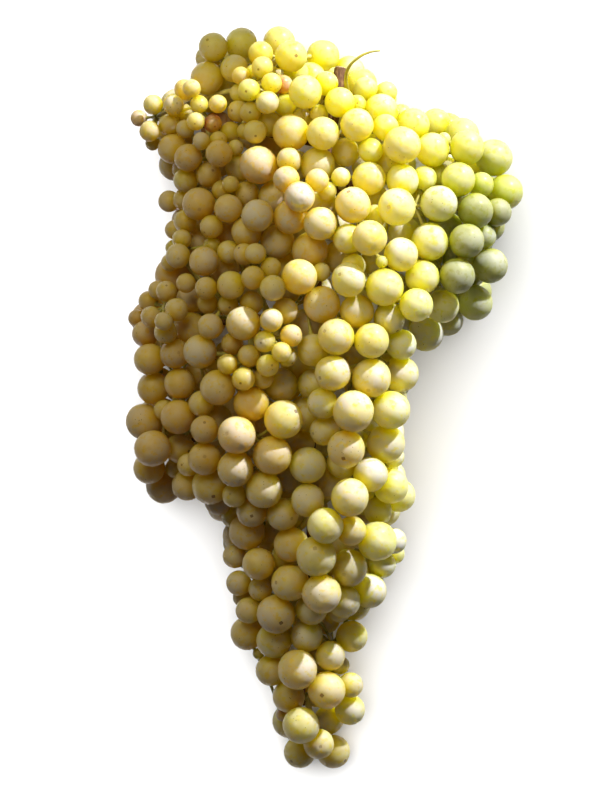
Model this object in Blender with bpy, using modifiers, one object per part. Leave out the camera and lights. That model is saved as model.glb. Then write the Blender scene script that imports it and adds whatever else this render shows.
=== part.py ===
"""Bunch of white wine grapes, laid down on a surface.

The bunch is a woody axis (the rachis) with arms, and sprigs that branch from it. A sprig is one
grown piece: a stalk, the knot where it divides, one thin stem (pedicel) for each berry, and the
berries. The seen berries stand in the table SPRIGS, in millimetres, sprig by sprig. Berries that
close the gaps between them start deeper, where the gaps are found to be widest. The berries
underneath, that the bunch rests on, follow a lattice. All of them then settle against each other,
so that no two berries overlap and no stem runs through a berry or another stem.

Frame: +Y runs from the tail of the bunch to its stem, +Z is up, and the bunch lies on Z = 0.
"""
import math

import bmesh
import bpy
import numpy as np
from mathutils import Matrix, Vector
from mathutils.bvhtree import BVHTree

NAME = "bunch_of_grapes"
MM = 0.001

# Driving dimensions, in millimetres
LENGTH = 297.0              # tail to crown, along Y
WIDTH = 156.0               # left tip to right wing, along X
HEIGHT = 77.0               # surface to the crest of the body
BERRY_SCALE = 1.0           # size of every berry, 1 being as drawn
FILL_DIAMETER = 13.0        # berries underneath
FILL_PITCH = 14.6           # spacing of the berries underneath
PEDICEL_DIAMETER = 1.5
KNOT_DIAMETER = 3.8         # where a stalk divides into pedicels
STALK_DIAMETER = 2.4
RACHIS_DIAMETER = 5.0
RACHIS_TAPER = 0.72         # how much thinner the axis is at the tail, as a share
ARM_DIAMETER = 3.4
ARM_TAPER = 0.45            # and an arm at its tip
TENDRIL_DIAMETER = 1.6
TENDRIL_TAPER = 0.6
GAP = 0.3                   # kept between pieces that touch

# The drawn size that the tables below were laid out at
DRAWN_LENGTH = 297.0
DRAWN_WIDTH = 156.0
DRAWN_HEIGHT = 77.0

RANK_DROP = 5.0             # how much deeper each rank of seen berries starts
EDGE_HEIGHT = 0.3           # height of the bunch's rim as a share of its crest
RIM_RISE = 5.0              # and what is added to that share

# The outline: y, left edge, right edge, x of the crest, height of the crest
OUTLINE = (
    (149, -40, -12, -26, 28), (145, -50, -10, -28, 31), (130, -54, 21, -14, 44), (118, -70, 35, 0, 52),
    (105, -75, 62, 8, 60), (90, -62, 76, 12, 66), (75, -62, 77, 14, 72), (60, -64, 71, 14, 76),
    (45, -69, 70, 14, 77), (30, -78, 58, 12, 77), (20, -76, 37, 10, 77), (0, -75, 37, 8, 75),
    (-20, -77, 33, 6, 71), (-35, -70, 35, 4, 66), (-45, -48, 33, 2, 62), (-60, -40, 32, 2, 56),
    (-75, -38, 26, 0, 50), (-90, -37, 17, -6, 44), (-105, -29, 14, -7, 36), (-120, -20, 15, -4, 30),
    (-135, -17, 8, -5, 24), (-149, -15, 9, -4, 18),
)

# The woody axis, from the cut stem to the tail: x, y, z
AXIS = (
    (6.5, 131, 36), (5, 118, 38), (2, 100, 40), (0, 80, 41), (-2, 58, 41), (-3, 32, 40), (-3, 10, 39),
    (-4, -8, 37), (-5, -30, 34), (-6, -55, 30), (-7, -80, 25), (-8, -105, 17), (-8, -124, 13),
)

# The arms: the point of the axis that each leaves, then its own points
ARMS = (
    (1, ((-12, 124, 36), (-30, 133, 25))),
    (2, ((-24, 105, 36), (-52, 109, 28))),
    (3, ((-24, 80, 37), (-46, 76, 30))),
    (3, ((22, 87, 40), (50, 82, 34))),
    (4, ((20, 54, 38), (44, 50, 33))),
    (5, ((-26, 32, 36), (-56, 27, 27))),
    (7, ((-26, -13, 33), (-54, -17, 25))),
)

# The thin dry tendril that rises beside the cut stem: x, y, z
TENDRIL = (
    (9.0, 121, 43), (8.4, 125, 48), (9.6, 129.5, 51), (13, 133.5, 52), (17.5, 136, 51), (22, 136.8, 49),
)

# The seen berries of each sprig: x, y, diameter, and rank (0 lies on top, 1 under it, and so on)
SPRIGS = {
    "crown_left": ((-44, 139.5, 11.5, 0), (-33.5, 141.5, 12.5, 1), (-45.5, 136.5, 10, 2), (-34, 131, 11, 1),
                   (-46.5, 127.5, 13, 2)),
    "crown_right": ((-17.8, 142.5, 12.5, 1), (-13, 135, 12.8, 0), (-24.5, 135.5, 9.7, 1),
                    (-12, 129.5, 10, 2), (-24.8, 130, 8.5, 0), (-15.5, 123.5, 7.5, 1)),
    "crown_shot": ((-32, 126.5, 7, 0), (-27.5, 127.3, 7, 1), (-20.5, 123.5, 8, 0), (-29, 120.5, 8.5, 0),
                   (-33.5, 121, 7.5, 1), (-22.5, 116, 9, 0), (-15.5, 115.5, 8.5, 1)),
    "crown_small": ((-34, 113, 8.5, 1), (-28.5, 112.5, 8.5, 0), (-31, 105.5, 6.5, 2), (-27.5, 105, 9, 2),
                    (-21, 107.5, 10, 2), (-36.5, 106, 8, 3)),
    "shoulder_tip": ((-74.3, 112.5, 6.5, 1), (-67.5, 117, 7.8, 1), (-59.7, 116, 7.8, 0), (-69, 106, 8, 0),
                     (-68.3, 101.5, 5.5, 1), (-61.5, 108.5, 8.5, 1), (-61, 118, 7, 2)),
    "shoulder_top": ((-52, 121.5, 7, 0), (-55, 123, 8, 1), (-42, 116, 7.2, 0), (-50, 116, 7, 2),
                     (-55.5, 113, 7, 2), (-50.3, 109.5, 7, 0), (-44, 108.3, 7, 1)),
    "shoulder_mid": ((-55, 106.5, 7, 1), (-48.2, 101, 6.8, 0), (-41.8, 101, 7.2, 1), (-35, 98.7, 6, 1),
                     (-60, 99, 11.5, 1), (-53.8, 94.9, 10.8, 0), (-41.3, 96, 10.5, 0)),
    "shoulder_low": ((-45.6, 87.3, 10, 1), (-54.5, 86.5, 9.5, 1), (-56.5, 91, 8, 2), (-61.8, 78.5, 8.4, 0),
                     (-56, 79, 8, 2), (-41, 82, 8, 2), (-48.8, 76.5, 13, 0)),
    "left_upper": ((-36.5, 84, 6.5, 1), (-37.5, 74, 11, 1), (-44.3, 67.5, 9, 1), (-30.5, 80, 9.5, 2),
                   (-30.5, 64.7, 11.8, 1), (-26, 71, 12.3, 0), (-33.5, 91, 11, 2)),
    "left_outer": ((-55, 70, 9, 1), (-59.5, 67, 7.5, 2), (-56.2, 62.5, 7.5, 0), (-57.5, 56, 9.5, 0),
                   (-60.8, 53.5, 7, 1), (-47.2, 53.5, 11.5, 0), (-44, 60, 7, 2), (-59.5, 59.5, 6, 2)),
    "left_inner": ((-37.5, 57.5, 9, 2), (-31, 56, 8.5, 1), (-26.8, 56, 8, 0), (-18.2, 61.5, 13, 2),
                   (-21.8, 49.5, 8, 1), (-27.5, 46.3, 9, 0), (-20.4, 43.2, 9.8, 0)),
    "neck_left": ((-25.8, 91.3, 14.7, 0), (-13.8, 93, 9.7, 0), (-13.3, 103.7, 14, 0), (-13.3, 84, 10.3, 1),
                  (-10.4, 78.5, 11.7, 0), (-13.3, 70.2, 13.3, 1)),
    "neck_top": ((-7, 120, 13.2, 0), (0.3, 123, 9.5, 1), (4.7, 128.2, 6.8, 1), (-8.5, 110.5, 8, 2),
                 (-1.5, 111.7, 7, 1), (-0.8, 103.2, 12.8, 0)),
    "neck_right": ((6.4, 115.5, 11.7, 0), (12, 115.5, 7, 2), (15, 125, 12.5, 1), (16.8, 122, 9.3, 0),
                   (24.9, 121.7, 8.5, 1), (13.2, 106, 13, 0)),
    "right_shoulder": ((22, 113.7, 13.7, 1), (24, 106.2, 10.5, 0), (31, 113.5, 7, 3), (34.7, 108, 13, 1),
                       (18.2, 97.2, 9.5, 1), (30.3, 97.9, 14.4, 0)),
    "heart_top": ((-2.3, 91.7, 13.7, 1), (-2.7, 84.3, 8.7, 0), (1, 81.5, 7.3, 1), (6.1, 86, 7.5, 1),
                  (8.3, 96.5, 11, 2), (18, 86, 13, 1)),
    "wing_top": ((42.7, 97.5, 13.2, 1), (47.5, 102.5, 5, 2), (56.3, 98.5, 13.4, 0), (67.5, 94, 14.5, 1),
                 (46, 88, 9, 2), (52.8, 85, 13.5, 0)),
    "wing_tip": ((71.3, 82.7, 13.8, 1), (62, 84, 10, 1), (59.2, 73.5, 14, 0), (68, 73.5, 11, 1),
                 (63, 63.5, 9.5, 1), (55.7, 61.5, 13.6, 0)),
    "wing_root": ((30.3, 86, 12.8, 1), (39, 86, 10, 2), (28.1, 74.2, 14.5, 0), (44.8, 76, 14.5, 1),
                  (41.2, 61, 14.5, 1)),
    "wing_low": ((65.5, 52.3, 13.5, 0), (52, 48, 14, 0), (59.7, 37.7, 13.7, 1), (46.5, 36, 13, 2),
                 (38.2, 47.2, 13.5, 1)),
    "heart_mid": ((11, 74.8, 14, 0), (20, 71, 9, 2), (-1.3, 67.3, 12.8, 0), (8.7, 63, 11.5, 2),
                  (17, 61.8, 13.5, 0), (29.6, 55.6, 13, 0), (22.3, 52.7, 4.5, 1), (18, 53, 9, 2)),
    "heart_low": ((11.5, 51.5, 9.5, 2), (9.3, 45.8, 13.1, 0), (23.3, 43, 14.7, 0), (35.5, 36, 12.8, 0),
                  (12.3, 33.7, 13.2, 1), (25.5, 31, 12, 1)),
    "heart_left": ((-9.7, 46.7, 13.7, 0), (-0.9, 36.5, 14, 1), (-1.5, 49.5, 7, 3), (-15.3, 33.8, 10, 1),
                   (-4.2, 18.5, 12.5, 1)),
    "column_top": ((4.4, 23.6, 13.9, 0), (18.2, 22.2, 13.6, 0), (30, 20.3, 12, 1), (3.2, 9.6, 13.9, 0),
                   (18, 8, 15, 1), (30, 10, 14, 0)),
    "column_mid": ((10.7, -5.2, 16, 0), (26, -5.1, 15, 0), (-0.3, -2.5, 12, 1), (0, -12.5, 11.5, 2),
                   (8.2, -19.7, 14.4, 0), (23.8, -17.8, 15, 1)),
    "column_low": ((7.5, -26, 12, 2), (27.5, -23.5, 8, 3), (17.5, -30, 13.5, 1), (26, -34.8, 13.7, 0),
                   (29.2, -39, 13, 1), (9.5, -39.3, 14.7, 0), (21.5, -45, 11, 2)),
    "rosette": ((-31.6, 29, 13.2, 0), (-20.7, 29.8, 8.9, 0), (-23.2, 22, 8.4, 0), (-13, 24, 8.5, 0),
                (-16.8, 17.7, 7.6, 0), (-14.5, 16, 7.5, 1)),
    "rosette_low": ((-29.2, 16.4, 8.8, 0), (-21.9, 12.4, 8.6, 0), (-23.5, 8, 8, 2), (-31.4, 7.4, 9, 0),
                    (-37.8, 12.8, 7.8, 0), (-36, 21, 8.5, 1), (-15.5, 6, 13, 3)),
    "left_mid_inner": ((-36, 43.5, 11, 0), (-28.5, 37, 9, 1), (-38, 37, 8, 1), (-46.2, 42.7, 8.7, 0),
                       (-44.5, 37, 8, 1), (-44.7, 27.8, 9.7, 0), (-54.3, 45, 7.5, 0)),
    "left_tip": ((-58, 34.6, 9, 0), (-62.2, 42, 8, 0), (-65.8, 42.3, 7, 1), (-69.6, 38, 8, 1),
                 (-67.8, 32, 8, 0), (-74.3, 31.5, 6.7, 1), (-62.8, 29.5, 7, 0)),
    "left_mid_outer": ((-71, 25, 10.5, 1), (-61.7, 25, 9, 1), (-68.5, 16, 12.3, 1), (-60, 19.5, 11.5, 2),
                       (-67.8, 4, 12.5, 1), (-57, 6, 12, 2)),
    "left_mid": ((-48.5, 18.2, 13, 0), (-41.7, 4, 13.7, 0), (-44, 12, 7, 2), (-48.5, -2.5, 10, 2),
                 (-42.3, -8.5, 12, 2), (-57.2, -7.2, 13.4, 0)),
    "left_low_outer": ((-71.3, -9.3, 14, 1), (-63.5, -5, 8, 2), (-67.5, -20, 14.4, 0),
                       (-69.3, -28, 12.5, 1), (-57.3, -20.5, 11.5, 2), (-59, -28, 8, 2)),
    "left_low": ((-46.8, -14, 11, 1), (-46.3, -22.8, 13, 1), (-53, -27, 9, 2), (-54, -34.2, 12, 1),
                 (-45.6, -33.5, 14.4, 0), (-42, -41, 11, 2)),
    "middle_left": ((-28.7, -2.7, 13.7, 0), (-16, -8.6, 14.8, 0), (-34, -14.7, 14.7, 0),
                    (-20.3, -22.5, 15, 0), (-34.4, -27.7, 13.9, 0)),
    "middle_low": ((-24.5, -36, 14.3, 0), (-34.7, -38.7, 9.5, 1), (-27.7, -43.5, 12, 2), (-36, -47.5, 9, 2),
                   (-17.5, -46, 12.5, 2), (-30.2, -53, 14.3, 1)),
    "middle_right": ((-6.6, -27, 14, 1), (-6.7, -40, 13, 1), (1, -49.8, 14, 0), (-12.3, -55.5, 13.6, 1)),
    "lower_right": ((17, -56.3, 15.5, 0), (12, -52.5, 11.5, 1), (27.5, -57, 10.5, 1), (28, -62.5, 8, 2),
                    (22.5, -67.5, 10.5, 2), (18.3, -75.7, 13.5, 1), (10.6, -66.5, 14.6, 0)),
    "lower_mid": ((-3.6, -61.3, 15.6, 0), (-15.8, -63.5, 11, 2), (-13, -73, 14.7, 1),
                  (-1.8, -76.3, 15.2, 0), (8.3, -80, 13, 1), (6, -84.5, 9.5, 2)),
    "lower_left": ((-26, -65.5, 12.8, 0), (-35.5, -63, 9.5, 1), (-33.8, -74, 10, 1), (-31.8, -79.5, 8, 2),
                   (-25, -75.5, 9.5, 2), (-30, -84.7, 10.3, 1), (-19, -84.6, 15, 0)),
    "tail_left": ((-30.6, -94.5, 13.4, 1), (-19.7, -97, 14, 1), (-26.2, -102.7, 4.5, 2),
                  (-21, -109, 12.3, 1), (-13, -119.6, 12.7, 1), (-16.3, -127.5, 5, 2)),
    "tail_right": ((10.5, -95.6, 12.3, 1), (2.6, -102.4, 11.7, 1), (6.8, -107.5, 7, 2),
                   (-6.2, -95.3, 12.5, 2), (-5.8, -84, 12.5, 1)),
    "tail_low": ((0.8, -116.2, 15, 0), (10.5, -115, 10, 1), (10.3, -125.5, 12, 1), (-10, -106.5, 15.6, 0)),
    "tail_tip": ((-9, -130.6, 14.6, 0), (-9.5, -142.3, 12.5, 1), (-2.3, -138.7, 12, 0),
                 (3.5, -141.5, 13.5, 1)),
}

# Where the sprigs underneath divide: x, y
UNDER_SPRIGS = {
    "under_crown": (-30, 122), "under_shoulder": (-50, 96), "under_neck": (4, 105), "under_wing": (50, 84),
    "under_upper_left": (-36, 64), "under_heart_top": (4, 76), "under_wing_low": (44, 50),
    "under_left_tip": (-56, 30), "under_heart": (-8, 42), "under_rosette": (-28, 8), "under_column": (12, 10),
    "under_left_low": (-54, -14), "under_middle": (-20, -24), "under_column_low": (16, -34),
}

BERRIES_PER_SPRIG = 12      # most that one knot divides into
GAP_PITCH = 1.5             # how finely the bunch is searched for gaps between the seen berries
GAP_LEAST = 1.6             # how far from every seen berry a point lies in a gap that is closed
GAP_DEPTH = 23.0            # how far under the surface the berries that close gaps start
FILL_REACH = 31.0           # longest way from a knot to a hidden berry
FILL_SWAY = 1.8             # how far the rows underneath wander
SWAY_STEP = 2.4             # angle by which that turns from berry to berry
SIZE_SWAY = 0.09            # how much the diameters underneath differ, as a share
LAYER_PITCH = 12.6          # height between the berries of a steep side
SEEN_KNOT_COST = 1.2        # how much a hidden berry prefers a knot underneath to a seen sprig's
FILL_INSET = 3.0            # how far the berries underneath stay inside the outline
UNDER_KNOT_HEIGHT = 21.0    # height of the knots underneath
KNOT_DEPTH = 8.0            # how far a seen sprig's knot starts below the middle of its berries
PEDICEL_LEAST = 2.0         # shortest pedicel
STALK_LEAST = 3.5           # shortest stalk
STALK_STEEPEST = 0.75       # sine of the flattest angle at which a stalk should leave the wood
WOOD_MARGIN = 0.6           # room for the swellings where arms leave the axis
SETTLE_STEPS = 150          # rounds of settling
SETTLE_FREE_STEPS = 60      # and how many of the last ones only part what overlaps
SETTLE_EXTRA_STEPS = 250    # most rounds more, where stems still touch
BEADS = (0.25, 0.45, 0.65, 0.85)  # shares of a stem's length where it is kept off other stems
BEAD_MARGIN = 0.3           # extra room there, because a pedicel is thicker near its knot
SEEN_EASE = (0.35, 0.35, 1.0)     # how freely a seen berry moves along each axis when it is pushed
SEEN_PULL = (0.12, 0.12, 0.012)   # how strongly it is drawn back to where it started, in each round
HIDDEN_PULL = 0.02          # the same for the other berries
KNOT_PULL = 0.03            # and for knots
PAIR_PUSH = 0.8             # share of an overlap that one round takes away, between two balls
BALL_PUSH = 0.5             # between a ball and a pedicel, on the ball's side
STEM_TIP_PUSH = 0.3         # on the side of the pedicel's berry
STEM_ROOT_PUSH = 0.2        # and of its knot
WOOD_PUSH = 0.8             # between a ball and the wood or a stalk
BEAD_PUSH = 0.4             # and between two stems
NO_SPRIG = -1               # stands for the wood where each line's sprig is listed
SHRINK_ROUNDS = 8           # rounds in which berries that still touch become smaller
SPOT_PITCH = 3.0            # spacing along the wood of the spots where a stalk may end
SPOTS_TRIED = 45            # how many of the nearest ones are weighed up for each stalk
GAP_SAMPLES = 24            # points along a stalk at which its distances are measured
LEAN_COST = 200.0           # cost of a stalk that leaves the wood too flat
STEM_COST = 60.0            # of each millimetre that it runs into wood, a knot or a stem
BERRY_COST = 25.0           # and into a berry
SEAT_RAYS = 12              # places around a stalk's end where the wood under it is felt
FLAT_ANGLE = 4.0            # degrees up to which neighbouring faces of the wood become one
END_MARGIN = 9.0            # how far the rows underneath stay from the ends of the bunch


def to_size(x, y, z=0.0):
    """A drawn point at the size that the driving dimensions ask for."""
    return np.array((x * WIDTH / DRAWN_WIDTH, y * LENGTH / DRAWN_LENGTH, z * HEIGHT / DRAWN_HEIGHT))


def outline_at(y):
    """Left edge, right edge, crest x and crest height at a drawn y."""
    rows = np.array(OUTLINE[::-1], dtype=float)
    return [np.interp(y, rows[:, 0], rows[:, column]) for column in range(1, 5)]


def surface_height(x, y):
    """Height of the bunch's upper surface at a drawn point: a dome across each section."""
    left, right, crest_x, crest = outline_at(y)
    rim = EDGE_HEIGHT * crest + RIM_RISE
    reach = right - crest_x if x > crest_x else crest_x - left
    across = min(abs(x - crest_x) / reach, 1.0)
    return rim + (crest - rim) * math.sqrt(1.0 - across * across)


def seen_berries():
    """Centres, radii and sprig numbers of the berries in SPRIGS."""
    centres = []
    radii = []
    sprigs = []
    for number, berries in enumerate(SPRIGS.values()):
        for x, y, diameter, rank in berries:
            depth = diameter / 2 + RANK_DROP * rank
            radius = BERRY_SCALE * diameter / 2
            centre = to_size(x, y, surface_height(x, y) - depth)
            centre[2] = max(centre[2], radius)
            centres.append(centre)
            radii.append(radius)
            sprigs.append(number)
    return centres, radii, sprigs


def hidden_centres():
    """Centres of the berries that the bunch rests on, and of those that close its steep sides."""
    radius = BERRY_SCALE * FILL_DIAMETER / 2
    row_step = FILL_PITCH * math.sqrt(3) / 2
    inset = radius + FILL_INSET
    wide = WIDTH / DRAWN_WIDTH
    tall = HEIGHT / DRAWN_HEIGHT
    centres = []
    for row in range(int((LENGTH - 2 * END_MARGIN) / row_step)):
        y = -LENGTH / 2 + END_MARGIN + radius + row * row_step
        drawn_y = y * DRAWN_LENGTH / LENGTH
        left, right = [edge * wide for edge in outline_at(drawn_y)[:2]]
        x = left + inset + (row % 2) * FILL_PITCH / 2
        while x < right - inset:
            sway = SWAY_STEP * len(centres)
            centre = (x + FILL_SWAY * math.sin(sway), y + FILL_SWAY * math.cos(sway), radius)
            centres.append(np.array(centre))
            x += FILL_PITCH
        for x in (left + inset, right - inset):
            room = surface_height(x / wide, drawn_y) * tall - 4 * radius
            for layer in range(int(room / LAYER_PITCH)):
                along = y + (layer % 2) * row_step / 2
                centres.append(np.array((x, along, radius + (layer + 1) * LAYER_PITCH)))
    return centres


def gap_centres(centres, radii):
    """Centres of the berries that close the gaps between the seen ones, widest gap first."""
    radius = BERRY_SCALE * FILL_DIAMETER / 2
    wide = WIDTH / DRAWN_WIDTH
    points = []
    for y in np.arange(-LENGTH / 2 + END_MARGIN, LENGTH / 2 - END_MARGIN, GAP_PITCH):
        left, right = [edge * wide for edge in outline_at(y * DRAWN_LENGTH / LENGTH)[:2]]
        points += [(x, y) for x in np.arange(left + radius, right - radius, GAP_PITCH)]
    points = np.array(points)
    between = np.linalg.norm(points[:, None, :] - np.array(centres)[None, :, :2], axis=2)
    clear = (between - np.array(radii)).min(axis=1)
    found = []
    while clear.max() > GAP_LEAST:
        x, y = points[clear.argmax()]
        drawn = (x / wide, y * DRAWN_LENGTH / LENGTH)
        height = surface_height(*drawn) * HEIGHT / DRAWN_HEIGHT - GAP_DEPTH
        found.append(np.array((x, y, max(height, radius))))
        clear = np.minimum(clear, np.linalg.norm(points - (x, y), axis=1) - radius)
    return found


def all_berries():
    """Each berry's centre, radius and sprig, each sprig's knot and name, and how many berries are seen."""
    names = list(SPRIGS) + list(UNDER_SPRIGS)
    centres, radii, sprigs = seen_berries()
    plugs = gap_centres(centres, radii)
    knots = []
    for number in range(len(SPRIGS)):
        own = [centre for centre, sprig in zip(centres, sprigs) if sprig == number]
        knots.append(np.mean(own, axis=0) - (0.0, 0.0, KNOT_DEPTH))
    for x, y in UNDER_SPRIGS.values():
        knots.append(to_size(x, y, UNDER_KNOT_HEIGHT))
    knots = np.array(knots)
    load = [sprigs.count(number) for number in range(len(names))]
    seen = len(centres)
    for number, centre in enumerate(plugs + hidden_centres()):
        ways = np.linalg.norm(knots - centre, axis=1)
        ways[:len(SPRIGS)] *= SEEN_KNOT_COST
        ways[np.array(load) >= BERRIES_PER_SPRIG] = np.inf
        taker = int(ways.argmin())
        if ways[taker] > FILL_REACH:
            continue
        if number < len(plugs):
            seen += 1
        load[taker] += 1
        centres.append(centre)
        radii.append(BERRY_SCALE * FILL_DIAMETER / 2 * (1.0 + SIZE_SWAY * math.sin(SWAY_STEP * number)))
        sprigs.append(taker)
    return np.array(centres), np.array(radii), np.array(sprigs), knots, names, seen


def skeleton():
    """Points of the woody axis and its arms, the edges between them, and each point's radius."""
    points = [to_size(*point) for point in AXIS]
    edges = [(index, index + 1) for index in range(len(AXIS) - 1)]
    steps = len(AXIS) - 1
    radii = [RACHIS_DIAMETER / 2 * (1.0 - RACHIS_TAPER * index / steps) for index in range(len(AXIS))]
    for start, arm in ARMS:
        before = start
        for step, point in enumerate(arm):
            points.append(to_size(*point))
            edges.append((before, len(points) - 1))
            radii.append(ARM_DIAMETER / 2 * (1.0 - ARM_TAPER * step))
            before = len(points) - 1
    return points, edges, radii


def nearest_on_segments(balls, starts, ends):
    """For each ball and segment: how far along the segment is nearest, and the vector from there."""
    along = ends - starts
    length = np.maximum(np.einsum("ij,ij->i", along, along), 1e-9)
    offset = balls[:, None, :] - starts[None, :, :]
    share = np.clip(np.einsum("kij,ij->ki", offset, along) / length, 0.0, 1.0)
    return share, offset - share[:, :, None] * along[None, :, :]


def push_from_segments(balls, radii, starts, ends, thickness, exempt):
    """How far each ball moves to clear the segments, and how strongly each segment is pressed."""
    share, gaps = nearest_on_segments(balls, starts, ends)
    distance = np.maximum(np.linalg.norm(gaps, axis=2), 1e-6)
    overlap = radii[:, None] + thickness[None, :] + GAP - distance
    overlap[exempt] = 0.0
    overlap = np.maximum(overlap, 0.0)
    press = gaps * (overlap / distance)[:, :, None]
    return press, share


def push_apart(balls, radii, ease):
    """How far each ball moves to part from the others; ease is each ball's freedom per axis."""
    between = balls[:, None, :] - balls[None, :, :]
    distance = np.maximum(np.linalg.norm(between, axis=2), 1e-6)
    overlap = radii[:, None] + radii[None, :] + GAP - distance
    np.fill_diagonal(overlap, 0.0)
    overlap = np.maximum(overlap, 0.0)
    normal = between / distance[:, :, None]
    give = np.einsum("ijk,ijk->ij", normal * normal, ease[:, None, :] + ease[None, :, :])
    move = normal * (overlap / np.maximum(give, 1e-6))[:, :, None]
    return ease * move.sum(axis=1)


def part_stems(balls, sprigs, stalk_ends, fixed, ease):
    """Moves the balls so that their stems clear each other; gives them and the deepest touch found."""
    count = len(sprigs)
    starts, ends, thickness = fixed
    every_sprig = np.arange(len(stalk_ends))
    pedicel = np.full(count, PEDICEL_DIAMETER / 2)
    stalk = np.full(len(stalk_ends), STALK_DIAMETER / 2)
    line_sprigs = np.concatenate((sprigs, np.full(len(starts), NO_SPRIG), every_sprig))
    line_thickness = np.concatenate((pedicel, thickness, stalk))
    stem_thickness = np.concatenate((pedicel, stalk)) + BEAD_MARGIN
    exempt = np.concatenate((sprigs, every_sprig))[:, None] == line_sprigs[None, :]
    exempt[count:] |= line_sprigs[None, :] == NO_SPRIG
    deepest = 0.0
    for way in BEADS:
        pedicel_roots = balls[count:][sprigs]
        roots = np.concatenate((pedicel_roots, stalk_ends))
        line_starts = np.concatenate((pedicel_roots, starts, balls[count:]))
        line_ends = np.concatenate((balls[:count], ends, stalk_ends))
        beads = roots * (1.0 - way) + balls * way
        press, _ = push_from_segments(beads, stem_thickness, line_starts, line_ends, line_thickness, exempt)
        press = press.sum(axis=1)
        deepest = max(deepest, np.linalg.norm(press, axis=1).max())
        balls = balls + BEAD_PUSH * way * press * ease
        np.add.at(balls, count + sprigs, BEAD_PUSH * (1.0 - way) * press[:count])
    return balls, deepest


def settle(centres, radii, sprigs, knots, seen, fixed, stalk_ends=None):
    """Moves the berries and knots until nothing overlaps, each berry staying near where it started."""
    count = len(centres)
    knot_count = len(knots)
    starts, ends, thickness = fixed
    targets = centres.copy()
    knot_targets = knots.copy()
    ease = np.ones((count + knot_count, 3))
    ease[:seen] = SEEN_EASE
    pull = np.full((count, 3), HIDDEN_PULL)
    pull[:seen] = SEEN_PULL
    knot_radius = np.full(knot_count, KNOT_DIAMETER / 2)
    ball_radius = np.concatenate((radii, knot_radius))
    pair_radius = np.concatenate((radii, knot_radius + PEDICEL_LEAST))
    wood_radius = np.concatenate((radii, knot_radius + STALK_LEAST))
    pedicel = np.full(count, PEDICEL_DIAMETER / 2)
    stalk = np.full(knot_count, STALK_DIAMETER / 2)
    own_pedicel = np.zeros((count + knot_count, count), dtype=bool)
    own_pedicel[np.arange(count), np.arange(count)] = True
    own_pedicel[count + sprigs, np.arange(count)] = True
    own_stalk = np.zeros((count + knot_count, knot_count), dtype=bool)
    own_stalk[count + np.arange(knot_count), np.arange(knot_count)] = True
    no_wood = np.zeros((count + knot_count, len(starts)), dtype=bool)
    touch = 0.0
    for step in range(SETTLE_STEPS + SETTLE_EXTRA_STEPS):
        if step >= SETTLE_STEPS and touch <= BEAD_MARGIN:
            break
        if step < SETTLE_STEPS - SETTLE_FREE_STEPS:
            centres = centres + (targets - centres) * pull
            knots = knots + (knot_targets - knots) * KNOT_PULL
        balls = np.concatenate((centres, knots))
        balls += PAIR_PUSH * push_apart(balls, pair_radius, ease)
        press, share = push_from_segments(balls, ball_radius, balls[count:][sprigs], balls[:count],
                                          pedicel, own_pedicel)
        balls += BALL_PUSH * press.sum(axis=1) * ease
        balls[:count] -= STEM_TIP_PUSH * (press * share[:, :, None]).sum(axis=0) * ease[:count]
        at_root = (press * (1.0 - share)[:, :, None]).sum(axis=0)
        np.add.at(balls, count + sprigs, -STEM_ROOT_PUSH * at_root)
        press, _ = push_from_segments(balls, wood_radius, starts, ends, thickness, no_wood)
        balls += WOOD_PUSH * press.sum(axis=1)
        if stalk_ends is not None:
            press, share = push_from_segments(balls, ball_radius, balls[count:], stalk_ends, stalk, own_stalk)
            balls += WOOD_PUSH * press.sum(axis=1) * ease
            balls[count:] -= STEM_ROOT_PUSH * (press * (1.0 - share)[:, :, None]).sum(axis=0)
            balls, touch = part_stems(balls, sprigs, stalk_ends, fixed, ease)
        balls[:, 2] = np.maximum(balls[:, 2], ball_radius)
        centres = balls[:count]
        knots = balls[count:]
    return centres, knots


def shrink_to_fit(centres, radii, sprigs, knots, fixed, stalk_ends):
    """The radii that leave every berry clear of the others and of every stem."""
    radii = radii.copy()
    between = np.linalg.norm(centres[:, None, :] - centres[None, :, :], axis=2)
    np.fill_diagonal(between, np.inf)
    room = between - GAP
    for _ in range(SHRINK_ROUNDS):
        share = radii[:, None] / (radii[:, None] + radii[None, :])
        radii = np.minimum(radii, (room * share).min(axis=1))
    starts = np.concatenate((knots[sprigs], fixed[0], knots))
    ends = np.concatenate((centres, fixed[1], stalk_ends))
    thickness = np.concatenate((np.full(len(centres), PEDICEL_DIAMETER / 2), fixed[2],
                                np.full(len(knots), STALK_DIAMETER / 2)))
    gaps = nearest_on_segments(centres, starts, ends)[1]
    distance = np.linalg.norm(gaps, axis=2)
    distance[np.arange(len(centres)), np.arange(len(centres))] = np.inf
    radii = np.minimum(radii, (distance - thickness - GAP).min(axis=1))
    return np.minimum(radii, centres[:, 2])


def crowding(start, end, starts, ends, room):
    """How far a segment comes too near to each of many others, all added up."""
    along = np.linspace(0.0, 1.0, GAP_SAMPLES)[:, None]
    samples = start + (end - start) * along
    gaps = nearest_on_segments(samples, starts, ends)[1]
    return np.maximum(room - np.linalg.norm(gaps, axis=2).min(axis=0), 0.0).sum()


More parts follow.
